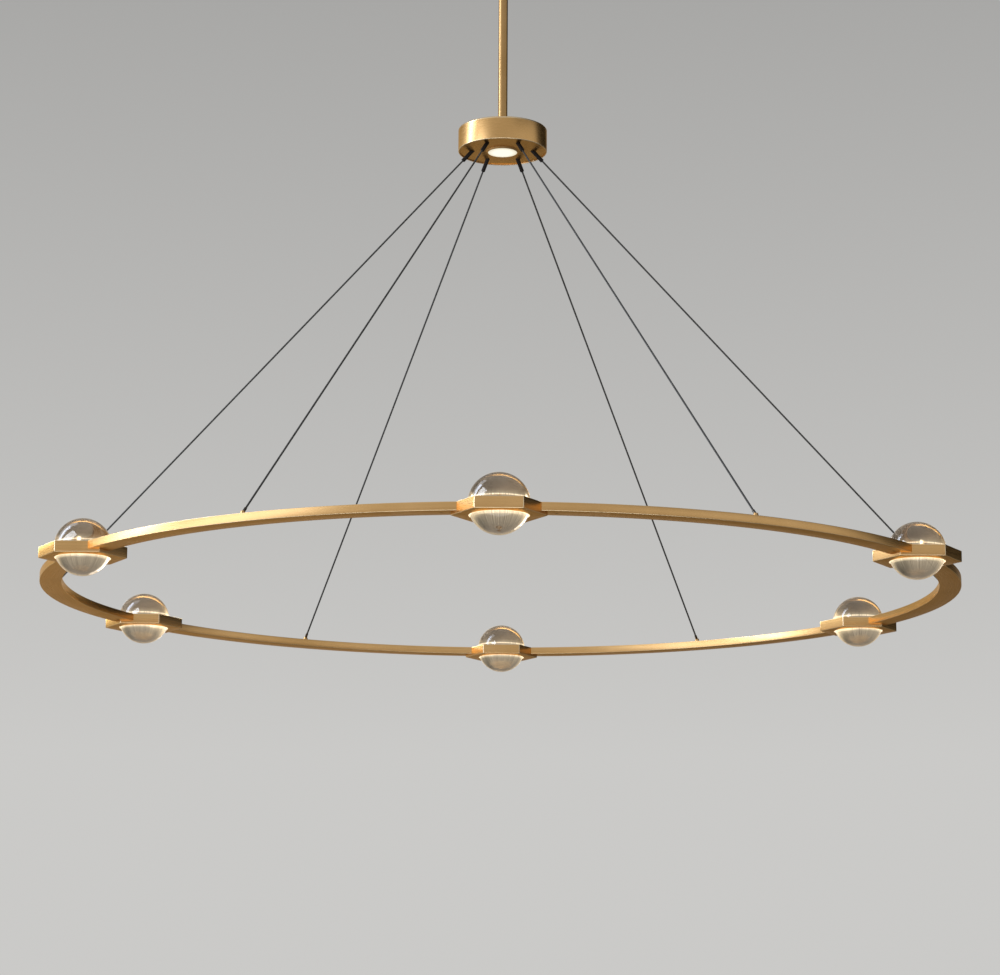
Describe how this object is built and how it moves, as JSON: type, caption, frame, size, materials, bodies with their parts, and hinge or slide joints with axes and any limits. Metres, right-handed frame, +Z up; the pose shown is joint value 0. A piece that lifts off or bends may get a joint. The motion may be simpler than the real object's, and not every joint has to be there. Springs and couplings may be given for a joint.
{
  "type": "ring chandelier",
  "caption": "Ring chandelier: a hub on a stem carries slanting cables and a brass ring with hexagonal frames that hold lit solid crystal balls.",
  "frame": {"origin": "middle of the ceiling strap, on the ceiling plane", "axes": "+Z up to the ceiling; +Y to the back; +X to the right, seen from the front; a light stands at -Y and at +Y, and a cable at -X and at +X"},
  "size_m": [1.524, 1.6074, 1.2362],
  "materials": {
    "satin_brass": "satin, finely brushed, lightly aged",
    "plain_steel": "zinc plated",
    "bronze": "plain bearing bronze",
    "crystal": "clear, polished",
    "frosted_lens": "frosted",
    "clear_silicone": "translucent, satin",
    "opal_diffuser": "opal, satin",
    "dark_cable": "steel rope in a dark satin jacket",
    "black_sleeve": "satin",
    "dark_ferrule": "blackened",
    "bare_aluminium": "turned",
    "circuit_board": "white solder mask",
    "driver_case": "moulded"
  },
  "bodies": {
    "ceiling": {"mounting_strap": "plain_steel", "canopy": "satin_brass", "canopy_studs": "plain_steel", "canopy_cap_nuts": "satin_brass", "led_driver": "driver_case", "swivel_socket": "satin_brass", "socket_nut": "plain_steel", "thrust_washer": "bronze", "stop_pin": "plain_steel"},
    "knuckle": {"knuckle_fork": "satin_brass", "spindle_nut": "plain_steel", "knuckle_pin": "satin_brass", "pin_nut": "satin_brass"},
    "pendant": {"stem_eye": "satin_brass", "stem": "satin_brass", "hub_housing": "satin_brass", "hub_base_plate": "satin_brass", "base_plate_screws": "satin_brass", "cable_bosses": "satin_brass", "arc_bar_1": "satin_brass", "hex_frame_1": "satin_brass", "crystal_ball_1": "crystal", "cable_1": "dark_cable", "arc_bar_2": "satin_brass", "hex_frame_2": "satin_brass", "crystal_ball_2": "crystal", "cable_2": "dark_cable", "arc_bar_3": "satin_brass", "hex_frame_3": "satin_brass", "crystal_ball_3": "crystal", "cable_3": "dark_cable", "arc_bar_4": "satin_brass", "hex_frame_4": "satin_brass", "crystal_ball_4": "crystal", "cable_4": "dark_cable", "arc_bar_5": "satin_brass", "hex_frame_5": "satin_brass", "crystal_ball_5": "crystal", "cable_5": "dark_cable", "arc_bar_6": "satin_brass", "hex_frame_6": "satin_brass", "crystal_ball_6": "crystal", "cable_6": "dark_cable", "stem_nipple": "plain_steel", "stem_lock_nut": "plain_steel", "hub_posts": "plain_steel", "heat_sink_screws": "plain_steel", "boss_nuts": "plain_steel", "bar_grub_screws": "plain_steel", "downlight_heat_sink": "bare_aluminium", "downlight_board": "circuit_board", "led_rings": "circuit_board", "downlight_lens": "frosted_lens", "seat_rings": "clear_silicone", "diffuser_rings": "opal_diffuser", "cable_sleeves": "black_sleeve", "cable_ferrules": "dark_ferrule", "cable_stops": "dark_ferrule"}
  },
  "joints": [
    {"name": "canopy_swivel", "type": "hinge", "parent": "ceiling", "child": "knuckle", "pos_m": [0, 0, -0.04], "axis": [0, 0, 1], "range_deg": [-160, 160]},
    {"name": "stem_tilt", "type": "hinge", "parent": "knuckle", "child": "pendant", "pos_m": [0, 0, -0.0643], "axis": [1, 0, 0], "range_deg": [-45, 45]}
  ]
}
